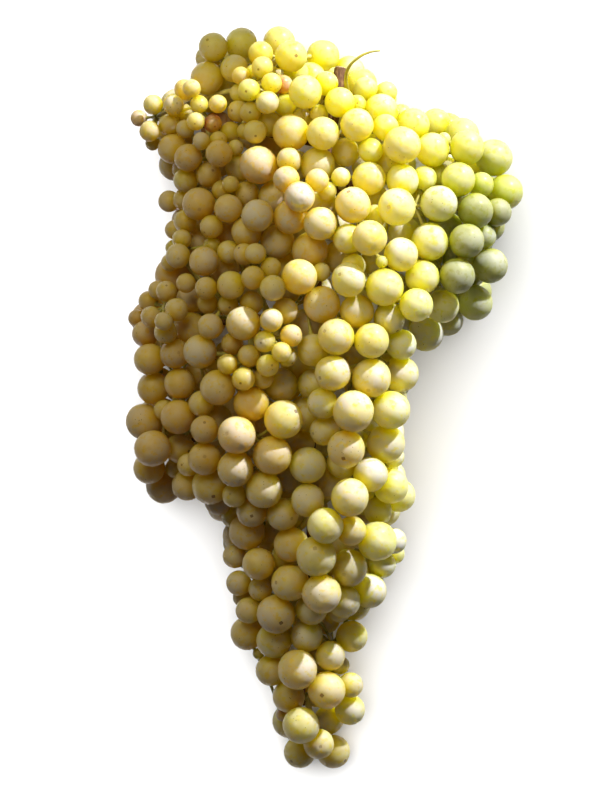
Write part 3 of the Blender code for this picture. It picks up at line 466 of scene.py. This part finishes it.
bpy.ops.object.select_all(action="DESELECT")
bpy.ops.mesh.primitive_ico_sphere_add(subdivisions=2, radius=1.0)
knot_net = bpy.context.object
knot_net.name = "knot_net"
bpy.ops.object.shade_smooth()
bpy.ops.object.mode_set(mode="EDIT")
bpy.ops.mesh.select_all(action="SELECT")
bpy.ops.transform.vertex_random(offset=KNOT_DENTS, seed=3)
bpy.ops.object.mode_set(mode="OBJECT")

stem_pieces = []
for name, (knot, end, berries) in sprigs.items():
    parts = [span(stalk_net, knot, end, STALK_RADIUS)]
    parts.append(copy_of(knot_net, Matrix.Translation(knot) @ Matrix.Scale(KNOT_RADIUS, 4)))
    for middle, radius in berries:
        reach = middle + (knot - middle).normalized() * radius * COLLAR_IN_BERRY
        parts.append(span(pedicel_net, knot, reach, PEDICEL_RADIUS))
    for part in parts:
        mark(part.data, "chance", SPREAD.uniform(0.0, 1.0))
    piece = join("stems_" + name.removeprefix("sprig_"), parts)
    smooth_once(piece)
    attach(piece, "root")
    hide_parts(name)
    stem_pieces.append(piece)
for net in (pedicel_net, stalk_net, knot_net):
    bpy.data.objects.remove(net)
print("stem pieces:", len(stem_pieces), "faces:", sum(len(piece.data.polygons) for piece in stem_pieces))

# %% [markdown]
# ## The woody axis
#
# The axis of the bunch, the rachis, is a tapering twig with a few arms. Each is drawn as a curve
# with a round bevel whose radius changes from point to point. Joined as they are, the tubes would
# just poke through each other. A voxel remesh fuses them into one skin, and a soft displacement
# gives the skin the uneven bark of a dry stem.

# %% Draw the axis and its arms
WOOD = (                    # first and last radius in mm, then the points in mm, from the root out
    (2.6, 0.7, ((6.5, 131, 36), (5, 118, 38), (2, 100, 40), (0, 80, 41), (-2, 58, 41), (-3, 32, 40),
                (-3, 10, 39), (-4, -8, 37), (-5, -30, 34), (-6, -55, 30), (-7, -80, 25),
                (-8, -105, 17), (-8, -124, 13))),
    (1.9, 0.9, ((5, 118, 38), (-12, 124, 36), (-30, 133, 25))),
    (1.9, 0.9, ((2, 100, 40), (-24, 105, 36), (-52, 109, 28))),
    (1.9, 0.9, ((0, 80, 41), (-24, 80, 37), (-46, 76, 30))),
    (1.9, 0.9, ((0, 80, 41), (22, 87, 40), (50, 82, 34))),
    (1.8, 0.9, ((-2, 58, 41), (20, 54, 38), (44, 50, 33))),
    (1.8, 0.9, ((-3, 32, 40), (-26, 32, 36), (-56, 27, 27))),
    (1.7, 0.9, ((-4, -8, 37), (-26, -13, 33), (-54, -17, 25))),
)
BEVEL_CUTS = 4              # roundness of a twig
STEPS_BETWEEN = 8           # how finely the curve runs from one point to the next
WOOD_VOXEL = 0.45 * MM
WOOD_ROUNDS = 4             # rounds of smoothing over the fused joints


def draw_twig(name, first, last, points):
    """A round twig along points in mm, tapering from the first radius to the last, as a mesh."""
    bpy.ops.object.select_all(action="DESELECT")
    bpy.ops.curve.primitive_bezier_curve_add()
    twig = bpy.context.object
    twig.name = name
    line = twig.data
    line.bevel_depth = MM
    line.bevel_resolution = BEVEL_CUTS
    line.resolution_u = STEPS_BETWEEN
    line.use_fill_caps = True
    knots = line.splines[0].bezier_points
    knots.add(len(points) - 2)
    for index, point in enumerate(points):
        knots[index].co = Vector(point) * MM
        knots[index].radius = first + (last - first) * index / (len(points) - 1)
        knots[index].handle_left_type = "AUTO"
        knots[index].handle_right_type = "AUTO"
    bpy.ops.object.convert(target="MESH")
    return bpy.context.object


branches = [draw_twig("branch", *branch) for branch in WOOD]
rachis_bark = join("rachis_bark", branches)
finish_modifier(rachis_bark, "REMESH", mode="VOXEL", voxel_size=WOOD_VOXEL)
finish_modifier(rachis_bark, "SMOOTH", factor=0.5, iterations=WOOD_ROUNDS)
print("axis:", len(rachis_bark.data.polygons), "faces")

# %% Give it uneven bark and a cut end
LUMP_SIZE = 3.0 * MM
LUMP_HEIGHT = 0.7 * MM
LUMP_LEVEL = 0.45           # the value of the noise at which the skin stays where it is
bark_lumps = bpy.data.textures.new("bark_lumps", "CLOUDS")
bark_lumps.noise_scale = LUMP_SIZE
finish_modifier(rachis_bark, "DISPLACE", texture=bark_lumps, texture_coords="LOCAL",
                strength=LUMP_HEIGHT, mid_level=LUMP_LEVEL)
pick(rachis_bark)
bpy.ops.object.shade_smooth()
CUT_END = 130.3 * MM        # the cut face lies past this y
CUT_FACING = 0.6            # and looks along Y at least this squarely
on_cut = [p.co.y > CUT_END and p.normal.y > CUT_FACING for p in rachis_bark.data.vertices]
mark(rachis_bark.data, "cut", on_cut)
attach(rachis_bark, "root")
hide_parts("rachis")

# %% [markdown]
# ## The tendril
#
# Beside the cut end a thin dry tendril rises out of the bunch and hooks over. It is one more
# tapering twig, with a small swollen foot. The foot is hidden among the berries and ends a few
# millimetres short of the axis, as it does in the frame.

# %% Draw the tendril
TENDRIL = (                 # points in mm, from its foot to its tip
    (9.0, 121.0, 43.0), (8.5, 124.8, 47.6), (9.4, 129.4, 50.8), (12.9, 133.2, 51.9),
    (17.6, 135.7, 51.1), (22.0, 136.6, 49.0),
)
TENDRIL_TAPER = (0.85, 0.4)     # radius at its foot and at its tip, in mm
FOOT_TAPER = (1.25, 0.8)
TENDRIL_VOXEL = 0.2 * MM
TENDRIL_ROUNDS = 3
tendril_parts = [draw_twig("tendril", *TENDRIL_TAPER, TENDRIL), draw_twig("foot", *FOOT_TAPER, TENDRIL[:2])]
tendril_twig = join("tendril_twig", tendril_parts)
finish_modifier(tendril_twig, "REMESH", mode="VOXEL", voxel_size=TENDRIL_VOXEL)
finish_modifier(tendril_twig, "SMOOTH", factor=0.5, iterations=TENDRIL_ROUNDS)
pick(tendril_twig)
bpy.ops.object.shade_smooth()
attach(tendril_twig, "root")
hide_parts("tendril")
print("tendril:", len(tendril_twig.data.polygons), "faces")

# %% [markdown]
# ## A little shorthand for materials
#
# A material is a small program of nodes, and written node by node it is hard to read. So one
# class wraps an output socket. Arithmetic on it adds Math nodes, and its method `node` adds any
# other node from its type, its settings and its inputs.

# %% Wrap a socket


class Wire:
    """An output socket, on which + - and * add Math nodes."""

    def __init__(self, tree, socket=None):
        self.tree = tree
        self.socket = socket

    def node(self, kind, settings=None, inputs=None, output=0):
        """Adds a node: its settings first, then its inputs by value or wire. Gives one output."""
        made = self.tree.nodes.new("ShaderNode" + kind)
        for name, value in (settings or {}).items():
            if name == "stops":
                elements = made.color_ramp.elements
                while len(elements) < len(value):
                    elements.new(0.5)
                for element, (place, colour) in zip(elements, value):
                    element.position = place
                    element.color = (*colour, 1.0)
            else:
                setattr(made, name, value)
        for key, value in (inputs or {}).items():
            if isinstance(value, Wire):
                self.tree.links.new(value.socket, made.inputs[key])
            else:
                made.inputs[key].default_value = value
        return Wire(self.tree, made.outputs[output] if len(made.outputs) else None)

    def maths(self, operation, first, second):
        """Adds a Math node on two numbers or wires."""
        return self.node("Math", {"operation": operation}, {0: first, 1: second})

    def __add__(self, other):
        return self.maths("ADD", self, other)

    def __radd__(self, other):
        return self.maths("ADD", other, self)

    def __sub__(self, other):
        return self.maths("SUBTRACT", self, other)

    def __rsub__(self, other):
        return self.maths("SUBTRACT", other, self)

    def __mul__(self, other):
        return self.maths("MULTIPLY", self, other)

    def __rmul__(self, other):
        return self.maths("MULTIPLY", other, self)

    def step(self, low, high):
        """Rises smoothly from 0 to 1 as the wire goes from low to high."""
        return self.node("MapRange", {"interpolation_type": "SMOOTHSTEP"}, {0: self, 1: low, 2: high})

    def read(self, attribute):
        """A number written on the mesh."""
        return self.node("Attribute", {"attribute_name": attribute}, output="Fac")

    def noise(self, place, scale, detail=3.0):
        """Soft noise between 0 and 1; the scale is in bumps a metre."""
        return self.node("TexNoise", {}, {"Vector": place, "Scale": scale, "Detail": detail}, "Fac")

    def blend(self, share, first, second):
        """A colour between two, by a share."""
        return self.node("Mix", {"data_type": "RGBA"}, {0: share, 6: first, 7: second}, 2)

    def ramp(self, stops):
        """The colour that a ramp gives for this wire."""
        return self.node("ValToRGB", {"stops": stops}, {0: self})


def new_material(name):
    """An empty node material, with the wire that starts its program and its output node."""
    material = bpy.data.materials.new(name)
    material.use_nodes = True
    material.node_tree.nodes.clear()
    return material, Wire(material.node_tree)


# %% [markdown]
# ## Grape skin
#
# A ripe white grape is a clear bag of pulp under a waxy film. Light goes in and comes out again
# somewhere else, so the side away from the lamp glows deep yellow, and that is subsurface
# scattering, with a reach of several berries and most of the light going straight on. The wax, the
# bloom, is a thin pale powder that only shows where light falls on it. One shader can't do both,
# because pale and glowing share one base colour there. So two Principled shaders are mixed: the
# pulp, and over it the bloom. Its share changes from berry to berry, follows the wax number that
# we wrote on the points, which also holds painted light on upper sides and painted shade between
# the berries, and is rubbed away in patches. The colours of both follow the ripeness number,
# which also holds painted shade. Small brown pores and the scar at the tip are painted into both.

# %% Make the skin
BROWN = (0.13, 0.065, 0.02, 1.0)
RED_CHEEK = (0.36, 0.10, 0.035, 1.0)
PULP_BY_RIPENESS_AND_SHADE = (                        # colours from unripe to fully ripe; the darker ends also serve as painted shade
    (0.05, (0.20, 0.21, 0.003)), (0.25, (0.42, 0.48, 0.005)), (0.5, (0.95, 0.82, 0.006)),
    (0.72, (0.80, 0.49, 0.006)), (0.98, (0.57, 0.29, 0.010)),
)
POWDER_BY_RIPENESS_AND_SHADE = (                      # and those of the bloom over them, darker at both ends as painted shade
    (0.1, (0.46, 0.49, 0.40)), (0.45, (0.84, 0.85, 0.88)), (0.85, (0.58, 0.45, 0.33)),
)
MOTTLE = 0.16                   # how far the ripeness strays within one berry
PORES_PER_METRE = 520.0
SCAR_DARK = 0.75
RUBBED_OFF = 0.6                # share of the bloom that is gone where it was rubbed
WAXLESS_BLOOM = 0.1             # share of the bloom that is left where the wax number, with its painted light and shade, is 0
SKIN_BUMP = 0.08 * MM
PULP_REACH = 30.0 * MM          # how far light travels in the pulp
PULP_REACH_RGB = (1.0, 0.85, 0.12)
PULP_FORWARD = 0.7              # how much of it goes straight on
PULP_IOR = 1.36


def make_skin():
    """The clear pulp and over it the bloom, mixed by the share of bloom."""
    material, start = new_material("grape_skin")
    place = start.node("TexCoord", output="Object")
    # The ripeness number carries painted shade, so these ramps paint the left and the lower wing darker.
    ripe_and_shade = start.read("ripeness") + (start.noise(place, 160.0) - 0.5) * MOTTLE
    cheek = start.read("blush") * start.noise(place, 130.0).step(0.2, 0.6)
    pulp = start.blend(cheek, ripe_and_shade.ramp(PULP_BY_RIPENESS_AND_SHADE), RED_CHEEK)
    powder = ripe_and_shade.ramp(POWDER_BY_RIPENESS_AND_SHADE)

    pores = start.node("TexVoronoi", {"feature": "F1"}, {"Vector": place, "Scale": PORES_PER_METRE})
    some = start.noise(place, 90.0, 1.0).step(0.48, 0.62)
    spots = (1.0 - pores.step(0.07, 0.13)) * some
    scar = start.read("scar").step(0.965, 1.0) * start.read("chance").step(0.5, 1.0) * SCAR_DARK
    dark = 1.0 - (1.0 - spots * 0.7) * (1.0 - scar)
    pulp = start.blend(dark, pulp, BROWN)
    powder = start.blend(dark, powder, BROWN)

    film = start.noise(place, 110.0, 4.0).step(0.3, 0.7) * 0.5 + 0.5
    rubbed = 1.0 - RUBBED_OFF * start.noise(place, 420.0, 5.0).step(0.5, 0.7)
    # The wax number paints upper sides paler, as painted light, and spots near other berries darker, as
    # painted shade and rubbed wax.
    kept_wax_and_painted_light = start.read("wax").step(0.05, 0.95) * (1.0 - WAXLESS_BLOOM) + WAXLESS_BLOOM
    bloom = start.read("bloom") * film * rubbed * kept_wax_and_painted_light
    skin = start.noise(place, 900.0, 2.0) + start.noise(place, 260.0, 2.0) * 2.0
    normal = start.node("Bump", {}, {"Strength": 0.25, "Distance": SKIN_BUMP, "Height": skin})

    flesh = start.node("BsdfPrincipled", {}, {
        "Base Color": pulp, "Roughness": 0.3 + bloom * 0.5, "Normal": normal,
        "Subsurface Weight": 1.0, "Subsurface Radius": PULP_REACH_RGB, "Subsurface Scale": PULP_REACH,
        "Subsurface Anisotropy": PULP_FORWARD, "IOR": PULP_IOR,
        "Coat Weight": 0.12, "Coat Roughness": 0.2,
    })
    wax = start.node("BsdfPrincipled", {}, {"Base Color": powder, "Roughness": 0.7, "Normal": normal})
    both = start.node("MixShader", {}, {0: bloom, 1: flesh, 2: wax})
    start.node("OutputMaterial", {}, {"Surface": both})
    return material


grape_skin = make_skin()
for piece in berry_pieces:
    piece.data.materials.clear()
    piece.data.materials.append(grape_skin)
print("skin nodes:", len(grape_skin.node_tree.nodes))

# %% [markdown]
# ## Stems, bark and tendril
#
# The young stems are yellow-green, browned here and there and dotted with corky warts. The axis is
# old wood: dark red-brown bark with streaks that run along it, and a pale cut end. All of them are
# noise in two or three scales, pushed through colour ramps, and the same noise lifts the surface.

# %% Make the stems' and the wood's materials
DRY_BROWN = (0.16, 0.075, 0.025, 1.0)
WART_BROWN = (0.22, 0.12, 0.04, 1.0)
BARK = (
    (0.3, (0.035, 0.015, 0.008)), (0.48, (0.12, 0.05, 0.02)), (0.62, (0.24, 0.13, 0.05)),
    (0.8, (0.34, 0.27, 0.10)),
)
CUT_WOOD = ((0.35, (0.40, 0.30, 0.14)), (0.65, (0.66, 0.58, 0.34)))
ALONG_STRETCH = 0.18            # the bark's streaks are longer along Y by one over this


def make_stem(name, browned, stops):
    """A thin green stem: how much of it has turned brown, and its colours."""
    material, start = new_material(name)
    place = start.node("TexCoord", output="Object")
    tone = start.noise(place, 300.0) * 0.6 + start.read("chance") * 0.4
    dry = start.noise(place, 120.0).step(0.75 - browned, 0.95 - browned)
    warts = 1.0 - start.node("TexVoronoi", {}, {"Vector": place, "Scale": 1100.0}).step(0.1, 0.3)
    colour = start.blend(dry, tone.ramp(stops), DRY_BROWN)
    colour = start.blend(warts * 0.5, colour, WART_BROWN)
    normal = start.node("Bump", {}, {"Strength": 0.5, "Distance": 0.12 * MM, "Height": warts + tone})
    shader = start.node("BsdfPrincipled", {}, {
        "Base Color": colour, "Roughness": 0.42 + dry * 0.3, "Normal": normal,
        "Subsurface Weight": 0.2, "Subsurface Radius": (1.0, 0.9, 0.3), "Subsurface Scale": 1.0 * MM,
    })
    start.node("OutputMaterial", {}, {"Surface": shader})
    return material


def make_bark():
    """Dark streaked bark, with pale wood where the stem was cut."""
    material, start = new_material("rachis_bark")
    place = start.node("TexCoord", output="Object")
    along = start.node("Mapping", {}, {"Vector": place, "Scale": (1.0, ALONG_STRETCH, 1.0)})
    streaks = start.noise(along, 1300.0, 5.0)
    patches = start.noise(place, 150.0)
    bark = (streaks * 0.65 + patches * 0.35).ramp(BARK)
    rings = start.noise(place, 900.0, 2.0).ramp(CUT_WOOD)
    cut = start.read("cut").step(0.3, 0.7)
    normal = start.node("Bump", {}, {"Strength": 0.7, "Distance": 0.25 * MM, "Height": streaks})
    shader = start.node("BsdfPrincipled", {}, {
        "Base Color": start.blend(cut, bark, rings), "Roughness": 0.6 + patches * 0.3, "Normal": normal,
    })
    start.node("OutputMaterial", {}, {"Surface": shader})
    return material


green_stem = make_stem("green_stem", 0.16, (
    (0.25, (0.32, 0.31, 0.05)), (0.5, (0.58, 0.54, 0.13)), (0.75, (0.72, 0.67, 0.28)),
))
dry_tendril = make_stem("dry_tendril", 0.08, (
    (0.25, (0.36, 0.32, 0.03)), (0.5, (0.62, 0.55, 0.07)), (0.75, (0.74, 0.70, 0.2)),
))
bark = make_bark()
for pieces, material in ((stem_pieces, green_stem), ([tendril_twig], dry_tendril), ([rachis_bark], bark)):
    for piece in pieces:
        piece.data.materials.clear()
        piece.data.materials.append(material)
print("materials:", grape_skin.name, green_stem.name, dry_tendril.name, bark.name)

# %% [markdown]
# ## Floor, light and camera
#
# The bunch lies on a pale floor and is seen from straight above through a long lens, so that the
# berries at its edges aren't seen from the side. A key light comes in low over the right shoulder
# of the bunch: it whitens the bloom on the side that faces it and leaves the other side to glow.
# The left shoulder lies in the shade of a leaf, so light linking leaves its berries out of the set
# that the key lights. A warm soft box from above fills the shade. A low key would also throw a
# shadow as long as the bunch over the floor, so the floor has a soft box of its own, and it gives
# no light back to the bunch.

# %% Lay the floor
low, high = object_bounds()
FLOOR_RADIUS = 4.0
UNDER_BERRIES = 0.05 * MM       # the floor lies this far under the lowest berry
bpy.ops.object.select_all(action="DESELECT")
under = (0.0, 0.0, low.z - UNDER_BERRIES)
bpy.ops.mesh.primitive_circle_add(vertices=96, radius=FLOOR_RADIUS, fill_type="NGON", location=under)
floor = bpy.context.object
floor.name = "floor"
floor_paint, paint = new_material("floor_paint")
grain = paint.noise(paint.node("TexCoord", output="Object"), 9.0)
paint.node("OutputMaterial", {}, {"Surface": paint.node("BsdfPrincipled", {}, {
    "Base Color": grain.ramp(((0.3, (0.86, 0.86, 0.86)), (0.7, (0.89, 0.89, 0.89)))), "Roughness": 0.9,
})})
floor.data.materials.append(floor_paint)
floor.visible_diffuse = False
floor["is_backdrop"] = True

# %% Set the light and the camera
LOOK_AT = Vector((-9.5 * MM, -0.8 * MM, 0.0))
SHOWN_HEIGHT = 316.0 * MM       # how much of the scene the picture's height takes in, at the bunch
CAMERA_HEIGHT = 1.6
MID_HEIGHT = 42.0 * MM          # height at which the berries' outlines lie
SENSOR = 36.0
FARTHEST = 20.0
IN_LEAF_SHADE = (               # how the names of the sprigs begin that the key leaves out
    "crown_left", "crown_small", "under_crown", "shoulder_mid", "shoulder_low", "left_",
    "under_shoulder", "under_upper_left", "under_left", "under_rosette",
)

bunch_set = bpy.data.collections.new("bunch_set")
sunny_set = bpy.data.collections.new("sunny_set")
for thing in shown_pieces():
    bunch_set.objects.link(thing)
    if not thing.name.removeprefix("berries_").startswith(IN_LEAF_SHADE):
        sunny_set.objects.link(thing)
floor_set = bpy.data.collections.new("floor_set")
floor_set.objects.link(floor)


def hang_light(name, towards, distance, size, watts, colour, lit):
    """A round soft box that faces the bunch and lights one set only."""
    light = bpy.data.lights.new(name, "AREA")
    light.shape = "DISK"
    light.size = size
    light.energy = watts
    light.color = colour
    lamp = bpy.data.objects.new(name, light)
    lamp.location = Vector(towards).normalized() * distance
    lamp.rotation_euler = Vector(towards).to_track_quat("Z", "Y").to_euler()
    bpy.context.scene.collection.objects.link(lamp)
    lamp.light_linking.receiver_collection = lit


hang_light("key", (0.50, 0.76, 0.36), 1.5, 0.06, 44.0, (1.0, 0.97, 0.99), sunny_set)
hang_light("sky_box", (-0.35, 0.75, 1.0), 1.2, 0.6, 6.2, (1.0, 0.89, 0.50), bunch_set)
hang_light("floor_box", (-0.2, 0.3, 1.0), 1.3, 2.6, 62.0, (1.0, 1.0, 1.0), floor_set)

AIR_COLOUR = (1.0, 0.95, 0.8, 1.0)
AIR_STRENGTH = 0.07
world = bpy.data.worlds.new("studio")
world.use_nodes = True
background = world.node_tree.nodes["Background"]
background.inputs["Color"].default_value = AIR_COLOUR
background.inputs["Strength"].default_value = AIR_STRENGTH
bpy.context.scene.world = world
bpy.context.scene.view_settings.view_transform = "Standard"

camera = bpy.data.cameras.new("camera")
camera.sensor_width = SENSOR
camera.lens = SENSOR * (CAMERA_HEIGHT - MID_HEIGHT) / SHOWN_HEIGHT
camera.clip_end = FARTHEST
camera_stand = bpy.data.objects.new("camera", camera)
camera_stand.location = LOOK_AT + Vector((0.0, 0.0, CAMERA_HEIGHT))
bpy.context.scene.collection.objects.link(camera_stand)
bpy.context.scene.camera = camera_stand
print("lens:", round(camera.lens, 1), "mm")

# %% Write the size and finish
print("visual size in mm:", [round(side / MM, 1) for side in high - low])
